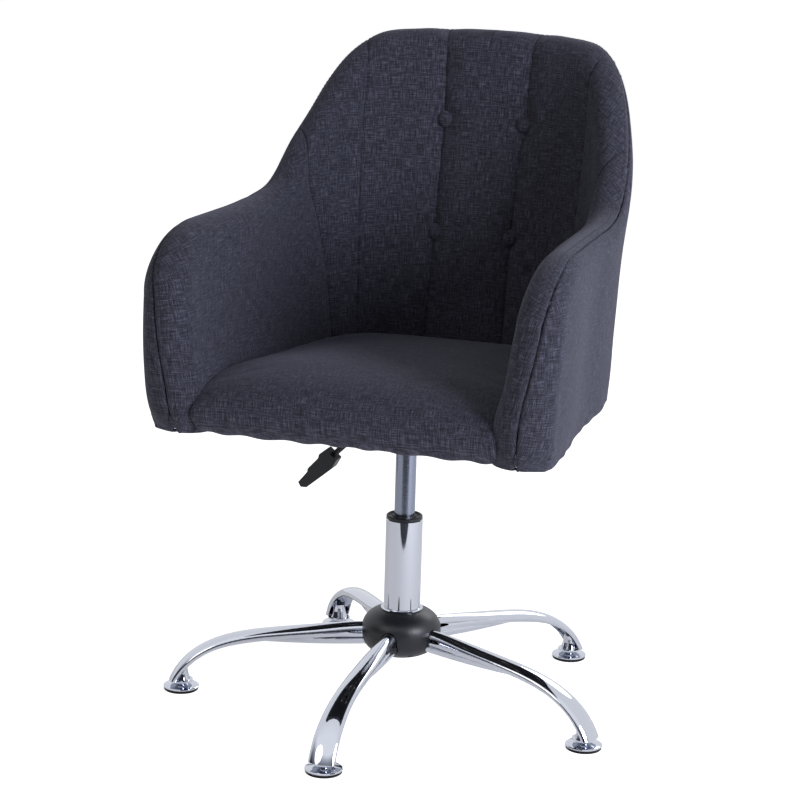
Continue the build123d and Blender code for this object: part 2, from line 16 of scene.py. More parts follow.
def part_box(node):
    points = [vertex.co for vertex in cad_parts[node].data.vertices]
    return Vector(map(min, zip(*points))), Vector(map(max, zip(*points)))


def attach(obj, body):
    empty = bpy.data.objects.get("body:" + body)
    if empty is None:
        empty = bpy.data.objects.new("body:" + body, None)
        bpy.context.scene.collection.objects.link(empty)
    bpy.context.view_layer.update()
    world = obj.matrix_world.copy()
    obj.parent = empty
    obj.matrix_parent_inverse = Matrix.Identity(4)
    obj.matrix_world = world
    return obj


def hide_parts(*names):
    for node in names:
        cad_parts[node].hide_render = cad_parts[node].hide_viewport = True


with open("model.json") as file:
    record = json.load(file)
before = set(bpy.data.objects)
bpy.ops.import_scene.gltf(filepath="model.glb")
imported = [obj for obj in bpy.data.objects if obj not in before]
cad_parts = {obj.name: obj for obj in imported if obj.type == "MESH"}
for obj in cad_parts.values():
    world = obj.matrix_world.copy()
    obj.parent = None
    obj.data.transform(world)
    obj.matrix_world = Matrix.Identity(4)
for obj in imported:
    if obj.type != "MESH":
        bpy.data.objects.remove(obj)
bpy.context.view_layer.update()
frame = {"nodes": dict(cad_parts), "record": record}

bl_info = {
    "name": "Swivel tub chair",
    "version": (1, 0, 0),
    "blender": (4, 5, 0),
    "location": "3D View > Sidebar > Tub Chair",
    "description": "Upholstery, finishes and stage of a swivel tub chair",
    "category": "Object",
}

MM = 0.001
PUFF_CAP = 0.012             # furthest that the simulation moves the cushion
TUB_BOTTOM = 0.410
ARM_TOP = 0.668
MAX_ROLL = 0.032             # largest radius of the rolled edge
TUCK_DEPTH = 0.022           # cloth turned under the bottom edge
TUCK_DROP = 0.0022           # how far the turned cloth hangs below the edge
SEAM_SHELF = 0.03            # turns the cloth backwards where the edge seam meets the bottom edge
EDGE_SEAM_DEPTH = 0.003      # how far the seam along the roll is drawn in
EDGE_SEAM_WIDTH = 0.0013
# height, and how many degrees round to the outside of the roll the edge seam lies
SEAM_TURN = [(0.50, 0), (0.59, 15), (0.65, 34), (0.70, 42)]

# height: half width beside the seat, half width at the arm fronts, reach of the back, squareness of the rear
OUTER = [
    (0.410, 0.246, 0.262, 0.303, 3.0), (0.440, 0.249, 0.267, 0.311, 2.95), (0.500, 0.252, 0.271, 0.322, 2.85),
    (0.594, 0.257, 0.275, 0.337, 2.7), (0.683, 0.267, 0.270, 0.352, 2.6), (0.765, 0.274, 0.274, 0.366, 2.6),
    (0.808, 0.278, 0.278, 0.372, 2.6), (0.880, 0.281, 0.281, 0.383, 2.6),
]
INNER = [
    (0.410, 0.186, 0.186, 0.230, 4.2), (0.474, 0.190, 0.193, 0.241, 4.0), (0.509, 0.196, 0.203, 0.248, 3.7),
    (0.552, 0.201, 0.209, 0.255, 3.5), (0.602, 0.206, 0.215, 0.264, 3.3), (0.680, 0.213, 0.222, 0.284, 3.0),
    (0.753, 0.220, 0.226, 0.303, 2.8), (0.880, 0.230, 0.230, 0.325, 2.7),
]
# front edge of the arms: height, y; above its last row the edge is a quarter oval up to the arm top
FRONT_EDGE = [
    (0.410, -0.260), (0.425, -0.270), (0.445, -0.276), (0.480, -0.280), (0.520, -0.280), (0.555, -0.276),
    (0.585, -0.271),
]
ARM_CORNER_Y = -0.150
# top edge of the arms, wings and back: degrees round from the side, height
TOP_EDGE = [
    (0, 0.669), (12, 0.671), (25.8, 0.686), (36, 0.733), (43.5, 0.771), (49.2, 0.808), (55.2, 0.843),
    (61.3, 0.867), (73, 0.878), (90, 0.880),
]
# seams inside the back, as share of the height: degrees round from the side
ARM_SEAM = [(0, 46.5), (0.2, 46.2), (0.29, 45.7), (0.46, 43.7), (0.63, 41), (0.76, 38.5), (1, 38.5)]
SIDE_SEAM = [(0, 54.7), (0.2, 55.3), (0.66, 57), (1, 60)]
CHANNEL = [(0, 76), (0.1, 76.6), (0.4, 78), (0.73, 79), (1, 79)]
REAR_SEAM = [(0, 34), (0.5, 33), (1, 33)]
BUTTON_HEIGHTS = [0.597, 0.753]      # on the channels
BUTTON_STAND = 0.005                 # how far a button stands off the back
BUTTON_LEAN = (0, -0.968, 0.25)      # the way its face looks

CAMERA_PLACE = (1.01424, -3.12152, 1.22095)
CAMERA_FORWARD = (-0.303148, 0.922781, -0.237860)
CAMERA_ROLL = 0.0289079
LENS_MM = 113.84


# ---------------------------------------------------------------- settings
def linear(code, alpha=True):
    """Linear colour from an sRGB hex value."""
    parts = [int(code[i:i + 2], 16) / 255 for i in (0, 2, 4)]
    out = [c / 12.92 if c <= 0.04045 else ((c + 0.055) / 1.055) ** 2.4 for c in parts]
    return (*out, 1.0) if alpha else tuple(out)


class ChairSizes(bpy.types.PropertyGroup):
    """Sizes of the upholstery."""

    channel_depth: bpy.props.FloatProperty(
        name="Channel depth", description="How deep the sewn channels of the back are drawn in",
        default=0.0085, unit="LENGTH")
    seam_depth: bpy.props.FloatProperty(
        name="Seam depth", description="Depth of a plain seam between two panels",
        default=0.0026, unit="LENGTH")
    tuft_depth: bpy.props.FloatProperty(
        name="Tuft depth", description="How far a button pulls the back in",
        default=0.0055, unit="LENGTH")
    stitch_pitch: bpy.props.FloatProperty(
        name="Stitch pitch", description="Length of one stitch and its gap", default=0.0062, unit="LENGTH")
    stitch_offset: bpy.props.FloatProperty(
        name="Topstitch offset", description="From the edge seam to the topstitching",
        default=0.0095, unit="LENGTH")
    button_radius: bpy.props.FloatProperty(
        name="Button radius", description="Radius of a covered button", default=0.0115, unit="LENGTH")
    cloth_thickness: bpy.props.FloatProperty(
        name="Cloth thickness", description="Cover cloth with its backing", default=0.0025, unit="LENGTH")
    puff_pressure: bpy.props.FloatProperty(
        name="Puff pressure", description="Pressure that plumps the seat in the cloth simulation", default=4.0)


class ChairColours(bpy.types.PropertyGroup):
    """Colours of the finishes."""

    yarn_dark: bpy.props.FloatVectorProperty(
        name="Dark yarn", description="Darkest threads of the cloth", size=4, subtype="COLOR",
        default=linear("1c1c23"))
    yarn_mid: bpy.props.FloatVectorProperty(
        name="Middle yarn", description="Most of the cloth", size=4, subtype="COLOR", default=linear("33333e"))
    yarn_light: bpy.props.FloatVectorProperty(
        name="Light yarn", description="Palest slubs of the cloth", size=4, subtype="COLOR",
        default=linear("575765"))
    floor: bpy.props.FloatVectorProperty(
        name="Floor", description="Studio floor", size=4, subtype="COLOR", default=linear("eeeeee"))


# ---------------------------------------------------------------- shape of the tub
def soft(distance, width):
    """Falls from 1 at a seam to 0 away from it, rounded at the seam."""
    return np.exp(-(distance / width) ** 1.5)


def smooth(x, rows, column=1):
    """Smooth curve through one column of a table, level beyond its ends."""
    xs = np.array([row[0] for row in rows])
    ys = np.array([row[column] for row in rows])
    slopes = np.gradient(ys, xs)
    i = np.clip(np.searchsorted(xs, x) - 1, 0, len(xs) - 2)
    width = xs[i + 1] - xs[i]
    t = np.clip((x - xs[i]) / width, 0, 1)
    rise = 3 * t ** 2 - 2 * t ** 3
    start = (t ** 3 - 2 * t ** 2 + t) * width * slopes[i]
    end = (t ** 3 - t ** 2) * width * slopes[i + 1]
    return ys[i] * (1 - rise) + ys[i + 1] * rise + start + end


def round_point(angle, z, wall):
    """Plan point of a wall's rounded rear at an angle from the side."""
    half, reach, power = smooth(z, wall, 1), smooth(z, wall, 3), smooth(z, wall, 4)
    across, back = np.cos(angle), np.sin(angle)
    radius = ((np.abs(across) / half) ** power + (np.abs(back) / reach) ** power) ** (-1 / power)
    return radius * across, radius * back


def wall_lengths():
    """Table of angle against length round the middle of the wall."""
    angles = np.linspace(0, pi / 2, 181)
    height = np.full_like(angles, 0.62)
    outer, inner = round_point(angles, height, OUTER), round_point(angles, height, INNER)
    x, y = (outer[0] + inner[0]) / 2, (outer[1] + inner[1]) / 2
    steps = np.hypot(np.diff(x), np.diff(y))
    return angles, np.concatenate([[0], np.cumsum(steps)])


WALL_ANGLES, WALL_LENGTHS = wall_lengths()
BACK_MIDDLE = WALL_LENGTHS[-1]


def length_at(degrees):
    """Place along the wall of an angle given in degrees."""
    return np.interp(np.radians(degrees), WALL_ANGLES, WALL_LENGTHS)


def wall_point(s, z, wall):
    """Plan point of the inner or outer wall at a place along it."""
    x, y = round_point(np.interp(s, WALL_LENGTHS, WALL_ANGLES), z, wall)
    ahead = np.clip(-s / 0.22, 0, 1)
    flare = ahead ** 2 * (3 - 2 * ahead)
    beside = smooth(z, wall, 1) * (1 - flare) + smooth(z, wall, 2) * flare
    return np.where(s < 0, beside, x), np.where(s < 0, s, y)


def front_edge(z):
    """How far forward the arm front comes at one height."""
    last_z, last_y = FRONT_EDGE[-1]
    rise = np.clip((z - last_z) / (ARM_TOP - last_z), 0, 1)
    corner = ARM_CORNER_Y + (last_y - ARM_CORNER_Y) * np.sqrt(1 - rise ** 2)
    return np.where(z < last_z, smooth(z, FRONT_EDGE), corner)


TOP_EDGE_LENGTHS = [(ARM_CORNER_Y, ARM_TOP)] + [(float(length_at(a)), z) for a, z in TOP_EDGE]


def edge_height(s):
    """Height of the rolled edge along the wall."""
    return smooth(s, TOP_EDGE_LENGTHS)


def edge_line():
    """The whole rolled edge of one side, unrolled: place along the wall and height."""
    turn = np.linspace(0, pi / 2, 60)
    last_z = FRONT_EDGE[-1][0]
    up = np.linspace(TUB_BOTTOM - 0.03, last_z, 60)[:-1]
    front_z = np.concatenate([up, last_z + (ARM_TOP - last_z) * np.sin(turn)])
    front_s = front_edge(np.maximum(front_z, TUB_BOTTOM))
    top_s = np.linspace(ARM_CORNER_Y, BACK_MIDDLE, 160)[1:]
    s = np.concatenate([front_s, top_s, [BACK_MIDDLE + 0.05]])
    z = np.concatenate([front_z, edge_height(top_s), [TOP_EDGE[-1][1]]])
    return np.stack([s, z], axis=1)


EDGE_LINE = edge_line()


def edge_inward():
    """Direction from each point of the edge line into the wall."""
    run = np.gradient(EDGE_LINE, axis=0)
    run /= np.linalg.norm(run, axis=1)[:, None]
    return np.stack([run[:, 1], -run[:, 0]], axis=1)


EDGE_INWARD = edge_inward()


def edge_distance(s, z):
    """Distance to the rolled edge in the unrolled wall, and the direction away from it."""
    flat = np.stack([s.ravel(), z.ravel()], axis=1)
    start, step = EDGE_LINE[:-1], np.diff(EDGE_LINE, axis=0)
    away = flat[:, None] - start[None]
    along = np.clip((away * step).sum(2) / (step ** 2).sum(1), 0, 1)
    gap = away - along[:, :, None] * step
    size = np.sqrt((gap ** 2).sum(2))
    near = size.argmin(1)
    rows = np.arange(len(flat))
    share = along[rows, near][:, None]
    direction = EDGE_INWARD[near] * (1 - share) + EDGE_INWARD[near + 1] * share
    return size[rows, near].reshape(s.shape), direction.reshape(*s.shape, 2)


def roll_radius(s, z):
    """Radius of the rolled edge: half the wall, up to its largest."""
    outer_x, outer_y = wall_point(s, z, OUTER)
    inner_x, inner_y = wall_point(s, z, INNER)
    return np.minimum(np.hypot(outer_x - inner_x, outer_y - inner_y) / 2, MAX_ROLL)


def roll_angles(s, z, distance, direction, outside):
    """Where each point is round the roll: share of the way from the seam, angle, and angle of the seam."""
    share = np.arccos(1 - np.clip(distance / roll_radius(s, z), 0, 1)) / (pi / 2)
    seam = np.radians(np.interp(z - direction[..., 1] * distance, *zip(*SEAM_TURN)))
    flat = pi / 2 if outside else -pi / 2
    return share, seam + (flat - seam) * share, seam


def shell(s, z, distance, direction, outside):
    """Points of the padded wall on its outside or inside, drawn in along the edge seam."""
    roll = roll_radius(s, z)
    share, angle, seam = roll_angles(s, z, distance, direction, outside)
    drawn = EDGE_SEAM_DEPTH * soft(np.abs(angle - seam) * roll, EDGE_SEAM_WIDTH)
    moved = np.where(share < 1, roll * (1 - np.cos(angle)) - distance, 0) + drawn * np.cos(angle)
    s, z = s + direction[..., 0] * moved, z + direction[..., 1] * moved
    outer_x, outer_y = wall_point(s, z, OUTER)
    inner_x, inner_y = wall_point(s, z, INNER)
    share = np.sin(angle) * (0.5 - drawn / (2 * roll))
    x = (outer_x + inner_x) / 2 + (outer_x - inner_x) * share
    y = (outer_y + inner_y) / 2 + (outer_y - inner_y) * share
    return np.stack([x, y, z], axis=-1)


def shell_normals(s, z, distance, direction, outside):
    """Outward directions of the padded wall, the same from whichever panel they are worked out."""
    reach = 0.5 * MM
    sides = []
    for ds, dz in ((reach, 0), (-reach, 0), (0, reach), (0, -reach)):
        moved = np.maximum(distance + direction[..., 0] * ds + direction[..., 1] * dz, 0)
        sides.append(shell(s + ds, z + dz, moved, direction, outside))
    normals = np.cross(sides[0] - sides[1], sides[2] - sides[3])
    normals /= np.maximum(np.linalg.norm(normals, axis=-1), 1e-12)[..., None]
    return normals if outside else -normals


def cloth_place(s, z, distance, direction, outside):
    """Cloth coordinates in metres, spread over the roll so that the weave keeps its scale."""
    roll = roll_radius(s, z)
    share, angle, seam = roll_angles(s, z, distance, direction, outside)
    whole_turn = pi / 2 - seam if outside else pi / 2 + seam
    spread = np.where(share < 1, roll - distance, 0) - roll * (1 - share) * whole_turn
    return np.stack([s, z], axis=-1) + direction * spread[..., None]


# ---------------------------------------------------------------- panels
def seam_at(rows, share):
    """Place along the wall of a seam, by share of the height."""
    return length_at(smooth(share, rows))


def steps_between(length, step, start, end):
    """Places from 0 to 1 along a panel: crowded over a roll or beside a seam, even elsewhere."""
    crowds = {"roll": [0, 0.02, 0.09, 0.35] + [32 * (1 - cos(a)) for a in np.linspace(0.2, pi / 2, 13)],
              "seam": [0, 0.9, 1.9, 3.2, 5.2, 8], "plain": [0]}
    first = [v * MM for v in crowds[start]]
    last = [length - v * MM for v in crowds[end]][::-1]
    count = max(2, round((last[0] - first[-1]) / step))
    middle = np.linspace(first[-1], last[0], count + 1)[1:-1]
    return np.concatenate([first, middle, last]) / length


def height_shares():
    """Shares of the height for the rows: tucked hem, even rows, then crowded over the roll."""
    turns = np.array([0, 0.03, 0.08] + list(np.linspace(0.17, pi / 2, 13)))
    roll = 1 - 0.125 * (1 - np.cos(turns))
    return np.concatenate([np.linspace(0, roll.min(), 70)[:-1], roll[::-1]])


SHARES = height_shares()
HEM_ROWS = 4


def panel_field(s, share, z, distance, outside, sizes):
    """How far the cloth stands off the plain shape, in metres."""
    lump = 0.0010 if outside else 0.0014
    field = np.array([lump * noise.noise(Vector((a * 9, b * 11, 3.0 if outside else 7.0)))
                      for a, b in zip(s.ravel(), z.ravel())]).reshape(s.shape)
    border = np.clip(distance / 0.005, 0, 1)
    if outside:
        field -= sizes.seam_depth * soft(np.abs(s - seam_at(REAR_SEAM, share)), 0.0022)
        pleat = np.abs(s + 0.245 - (z - TUB_BOTTOM) * 0.1)
        field += 0.0024 * soft(pleat, 0.004) * np.clip((0.455 - z) / 0.03, 0, 1)
        pull = 0.0007 * np.sin(s * 2 * pi / 0.061 + np.sin(s * 40))
        return (field + pull * np.exp(-(z - TUB_BOTTOM) / 0.012)) * border
    for rows, plump, sharp in ((ARM_SEAM, 0.0045, 0.002), (SIDE_SEAM, 0.0026, 0.0017)):
        gap = np.abs(s - seam_at(rows, share))
        field -= plump * soft(gap, 0.016) + sizes.seam_depth * soft(gap, sharp)
    gap = np.abs(s - seam_at(CHANNEL, share))
    top_fade = np.clip(distance / 0.03, 0.75, 1)
    field -= (sizes.channel_depth * soft(gap, 0.015) + sizes.seam_depth * soft(gap, 0.0018)) * top_fade
    for height in BUTTON_HEIGHTS:
        across, up = s - seam_at(CHANNEL, share), z - height
        reach = np.hypot(across, up)
        field -= sizes.tuft_depth * np.exp(-(reach / 0.021) ** 2)
        folds = 0.0011 * np.cos(5 * np.arctan2(up, across) + 0.6)
        field += folds * np.exp(-((reach - 0.022) / 0.014) ** 2)
    return field * border


def shape_panel(side, outside, near, far, spacing, sizes):
    """One sewn panel as a bmesh: a grid bent to the tub, with its lumps, seams and turned hem."""
    share = np.concatenate([np.zeros(HEM_ROWS), SHARES])[:, None]
    across = np.asarray(spacing)[None, :]
    s = near(share) * (1 - across) + far(share) * across
    z = TUB_BOTTOM + (edge_height(s) - TUB_BOTTOM) * share
    distance, direction = edge_distance(s, z)
    points = shell(s, z, distance, direction, outside)
    other = shell(s, z, distance, direction, not outside)
    place = cloth_place(s, z, distance, direction, outside)
    normals = shell_normals(s, z, distance, direction, outside)
    field = panel_field(s, share + 0 * s, z, distance, outside, sizes)
    points = points + normals * field[..., None]
    inward = other - points
    inward[..., 1] += SEAM_SHELF * np.clip(1 - distance / 0.02, 0, 1)
    inward[..., 2] = 0
    inward /= np.maximum(np.linalg.norm(inward, axis=-1), 1e-4)[..., None]
    for row in range(HEM_ROWS):
        turn = (HEM_ROWS - row) / HEM_ROWS
        points[row] += inward[row] * TUCK_DEPTH * turn ** 1.6
        points[row, :, 2] -= TUCK_DROP * sin(turn * pi / 2)
        place[row, :, 1] -= TUCK_DEPTH * turn
    points[..., 0] *= side
    bm = bmesh.new()
    rows, columns = s.shape
    bmesh.ops.create_grid(bm, x_segments=columns - 1, y_segments=rows - 1, size=1)
    cloth = bm.loops.layers.uv.new("cloth")
    index = {}
    for vert in bm.verts:
        column = round((vert.co.x + 1) / 2 * (columns - 1))
        row = round((vert.co.y + 1) / 2 * (rows - 1))
        index[vert] = (row, column)
    for face in bm.faces:
        for loop in face.loops:
            u, v = place[index[loop.vert]]
            loop[cloth].uv = (u * side, v)
    for vert, key in index.items():
        vert.co = points[key]
    bm.normal_update()
    facing = sum(face.normal.dot(Vector(normals[index[face.verts[0]]] * (side, 1, 1))) for face in bm.faces)
    if facing < 0:
        bmesh.ops.reverse_faces(bm, faces=bm.faces)
    return bm


def join_bmeshes(parts):
    """One bmesh from several, with the borders that meet sewn together."""
    whole = bmesh.new()
    for part in parts:
        mesh = bpy.data.meshes.new("part")
        part.to_mesh(mesh)
        part.free()
        whole.from_mesh(mesh)
        bpy.data.meshes.remove(mesh)
    bmesh.ops.remove_doubles(whole, verts=whole.verts, dist=0.02 * MM)
    return whole


def show(bm, name, material, body="seat", smooth_faces=True):
    """Puts a finished bmesh in the scene as a piece that rides on a body."""
    mesh = bpy.data.meshes.new(name)
    bm.to_mesh(mesh)
    bm.free()
    if smooth_faces:
        mesh.shade_smooth()
    mesh.materials.append(material)
    piece = bpy.data.objects.new(name, mesh)
    bpy.context.scene.collection.objects.link(piece)
    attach(piece, body)
    return piece


def thicken(piece, thickness):
    """Gives a cloth panel its thickness, inwards."""
    wall = piece.modifiers.new("cloth thickness", "SOLIDIFY")
    wall.thickness = thickness
    wall.offset = -1
    return piece


# ---------------------------------------------------------------- materials
def add(tree, kind, settings=None, links=None):
    """Adds one node with its settings and its incoming links. Stops are the places and colours of a ramp."""
    node = tree.nodes.new(kind)
    for key, value in (settings or {}).items():
        if key == "stops":
            elements = node.color_ramp.elements
            while len(elements) < len(value):
                elements.new(0.5)
            for element, (place, colour) in zip(elements, value):
                element.position = place
                element.color = colour
        elif key in node.inputs:
            node.inputs[key].default_value = value
        else:
            setattr(node, key, value)
    for key, source in (links or {}).items():
        tree.links.new(source, node.inputs[key])
    return node


def start_material(name):
    """Empty node material and its Principled shader."""
    material = bpy.data.materials.get(name) or bpy.data.materials.new(name)
    material.use_nodes = True
    tree = material.node_tree
    tree.nodes.clear()
    shader = add(tree, "ShaderNodeBsdfPrincipled")
    add(tree, "ShaderNodeOutputMaterial", links={"Surface": shader.outputs["BSDF"]})
    return material, tree, shader


def set_shader(shader, **values):
    """Sets plain values on the shader's own sockets."""
    for key, value in values.items():
        shader.inputs[key.replace("_", " ")].default_value = value


def grain_pattern(tree, vector, size, detail=2.0, roughness=0.5):
    """Irregular grain, thread or mottling of the given size in metres along each axis."""
    scale = tuple(1 / v for v in size)
    mapping = add(tree, "ShaderNodeMapping", {"Scale": scale}, {"Vector": vector})
    grain = add(tree, "ShaderNodeTexNoise", {"Scale": 1.0, "Detail": detail, "Roughness": roughness},
                {"Vector": mapping.outputs["Vector"]})
    return grain.outputs["Fac"]


def cloth_material(name="linen-look polyester weave"):
    """Slubby plain-weave polyester: uneven pale and dark threads cross each other over a charcoal ground.

    Real threads are 0.5 mm apart, too fine to show, so the weave is drawn at 1.3 mm.
    """
    colours = bpy.context.scene.chair_colours
    material, tree, shader = start_material(name)
    cloth = add(tree, "ShaderNodeUVMap", {"uv_map": "cloth"}).outputs["UV"]
    warp = grain_pattern(tree, cloth, (1.05 * MM, 19 * MM, 1), 3.0, 0.6)
    weft = grain_pattern(tree, cloth, (21 * MM, 1.05 * MM, 1), 3.0, 0.6)
    slubs = add(tree, "ShaderNodeMixRGB", {"Fac": 0.5}, {"Color1": warp, "Color2": weft}).outputs["Color"]
    cloudy = grain_pattern(tree, cloth, (4 * MM, 5 * MM, 1), 4.0, 0.65)
    tone = add(tree, "ShaderNodeMixRGB", {"Fac": 0.2}, {"Color1": slubs, "Color2": cloudy}).outputs["Color"]
    yarns = [(0.40, colours.yarn_dark), (0.5, colours.yarn_mid), (0.61, colours.yarn_light)]
    colour = add(tree, "ShaderNodeValToRGB", {"stops": yarns}, {"Fac": tone}).outputs["Color"]
    threads = []
    waves_per_metre = 1 / (1.3 * MM) / 3.18
    for direction in ("X", "Y"):
        wave = add(tree, "ShaderNodeTexWave",
                   {"bands_direction": direction, "Scale": waves_per_metre, "Distortion": 0.8, "Detail": 1.0},
                   {"Vector": cloth})
        threads.append(wave.outputs["Fac"])
    weave = add(tree, "ShaderNodeMixRGB", {"blend_type": "MULTIPLY", "Fac": 1.0},
                {"Color1": threads[0], "Color2": threads[1]}).outputs["Color"]
    shade = add(tree, "ShaderNodeMixRGB", {"Fac": 0.62}, {"Color1": weave, "Color2": slubs}).outputs["Color"]
    # Painted shade and painted highlight: this ramp darkens the colour to 0.55 in the gaps between threads and
    # lifts it to 1.12 on their crests, mixed with the real tone of the slubs.
    weave_shade_stops = [(0.2, (0.55, 0.55, 0.57, 1)), (0.55, (1.12, 1.12, 1.12, 1))]
    darker = add(tree, "ShaderNodeValToRGB", {"stops": weave_shade_stops}, {"Fac": shade}).outputs["Color"]
    shaded = add(tree, "ShaderNodeMixRGB", {"blend_type": "MULTIPLY", "Fac": 1.0},
                 {"Color1": colour, "Color2": darker}).outputs["Color"]
    tree.links.new(shaded, shader.inputs["Base Color"])
    bump = add(tree, "ShaderNodeBump", {"Strength": 0.55, "Distance": 0.5 * MM}, {"Height": shade})
    tree.links.new(bump.outputs["Normal"], shader.inputs["Normal"])
    set_shader(shader, Roughness=0.9, Sheen_Weight=0.18, Sheen_Roughness=0.5, Specular_IOR_Level=0.25)
    shader.inputs["Sheen Tint"].default_value = linear("b9bcd0")
    return material


def metal_material(name, colour, roughness, grain, spread, bump_height=0.0):
    """Metal whose roughness varies with a grain of the given size."""
    material, tree, shader = start_material(name)
    place = add(tree, "ShaderNodeTexCoord").outputs["Object"]
    value = grain_pattern(tree, place, grain, 3.0)
    range_node = add(tree, "ShaderNodeMapRange", {"To Min": roughness - spread, "To Max": roughness + spread},
                     {"Value": value})
    tree.links.new(range_node.outputs["Result"], shader.inputs["Roughness"])
    if bump_height:
        bump = add(tree, "ShaderNodeBump", {"Strength": 0.3, "Distance": bump_height}, {"Height": value})
        tree.links.new(bump.outputs["Normal"], shader.inputs["Normal"])
    set_shader(shader, Base_Color=linear(colour), Metallic=1.0)
    return material


def coated_material(name, dark, light, roughness, grain, bump_height, specular=0.5):
    """Plastic, paint or rubber: a fine grain in colour, roughness and bump."""
    material, tree, shader = start_material(name)
    place = add(tree, "ShaderNodeTexCoord").outputs["Object"]
    fine = grain_pattern(tree, place, (grain, grain, grain), 2.0)
    broad = grain_pattern(tree, place, (grain * 30, grain * 30, grain * 30), 3.0)
    shades = add(tree, "ShaderNodeValToRGB", {"stops": [(0.35, linear(dark)), (0.65, linear(light))]},
                 {"Fac": broad})
    tree.links.new(shades.outputs["Color"], shader.inputs["Base Color"])
    rough = add(tree, "ShaderNodeMapRange", {"To Min": roughness - 0.06, "To Max": roughness + 0.06},
                {"Value": broad})
    tree.links.new(rough.outputs["Result"], shader.inputs["Roughness"])
    bump = add(tree, "ShaderNodeBump", {"Strength": 0.35, "Distance": bump_height}, {"Height": fine})
    tree.links.new(bump.outputs["Normal"], shader.inputs["Normal"])
    set_shader(shader, Specular_IOR_Level=specular)
    return material


def plywood_material():
    """Raw birch plywood: long pale grain with darker streaks."""
    material, tree, shader = start_material("raw birch plywood")
    place = add(tree, "ShaderNodeTexCoord").outputs["Object"]
    grain = grain_pattern(tree, place, (3 * MM, 90 * MM, 3 * MM), 4.0, 0.6)
    shades = add(tree, "ShaderNodeValToRGB", {"stops": [(0.35, linear("a98357")), (0.65, linear("d9bd92"))]},
                 {"Fac": grain})
    tree.links.new(shades.outputs["Color"], shader.inputs["Base Color"])
    bump = add(tree, "ShaderNodeBump", {"Strength": 0.3, "Distance": 0.3 * MM}, {"Height": grain})
    tree.links.new(bump.outputs["Normal"], shader.inputs["Normal"])
    set_shader(shader, Roughness=0.7)
    return material


def hard_materials():
    """Finish of each material slot that the CAD nodes keep."""
    return {
        # chromium plate, polished: mirror bright with faint haze
        "chrome": metal_material("polished chromium plate", "cdd0d8", 0.05, (22 * MM, 22 * MM, 22 * MM), 0.02),
        # drawn and ground steel: fine rings round the tube blur its highlights
        "ground_steel": metal_material("ground steel", "9298a8", 0.25, (40 * MM, 40 * MM, 0.5 * MM), 0.06,
                                       0.02 * MM),
        # zinc plate: grey, slightly mottled
        "zinc_steel": metal_material("zinc plated steel", "b9bbbd", 0.36, (4 * MM, 4 * MM, 4 * MM), 0.08),
        # powder coat: fine orange peel, half gloss
        "black_paint": coated_material("black powder coat", "131315", "1b1b1e", 0.42, 0.9 * MM, 0.05 * MM),
        # moulded nylon: spark-eroded grain, soft highlight
        "black_plastic": coated_material("moulded black nylon", "15161b", "1a1b21", 0.4, 0.5 * MM, 0.015 * MM),
        # moulded rubber: matt and dusty
        "rubber": coated_material("black rubber", "0e0e10", "17171a", 0.78, 1.2 * MM, 0.06 * MM, 0.3),
        "plywood": plywood_material(),
        # waxed twine: dull, a little lighter where it is rubbed
        "twine": coated_material("waxed polyester twine", "1a1a1c", "2c2c30", 0.7, 0.4 * MM, 0.1 * MM, 0.3),
        # spun-bonded polypropylene: matt, speckled by its pressed dots
        "dust_cloth": coated_material("spun-bonded black sheet", "121214", "1f1f22", 0.85, 1.0 * MM, 0.12 * MM,
                                      0.2),
    }


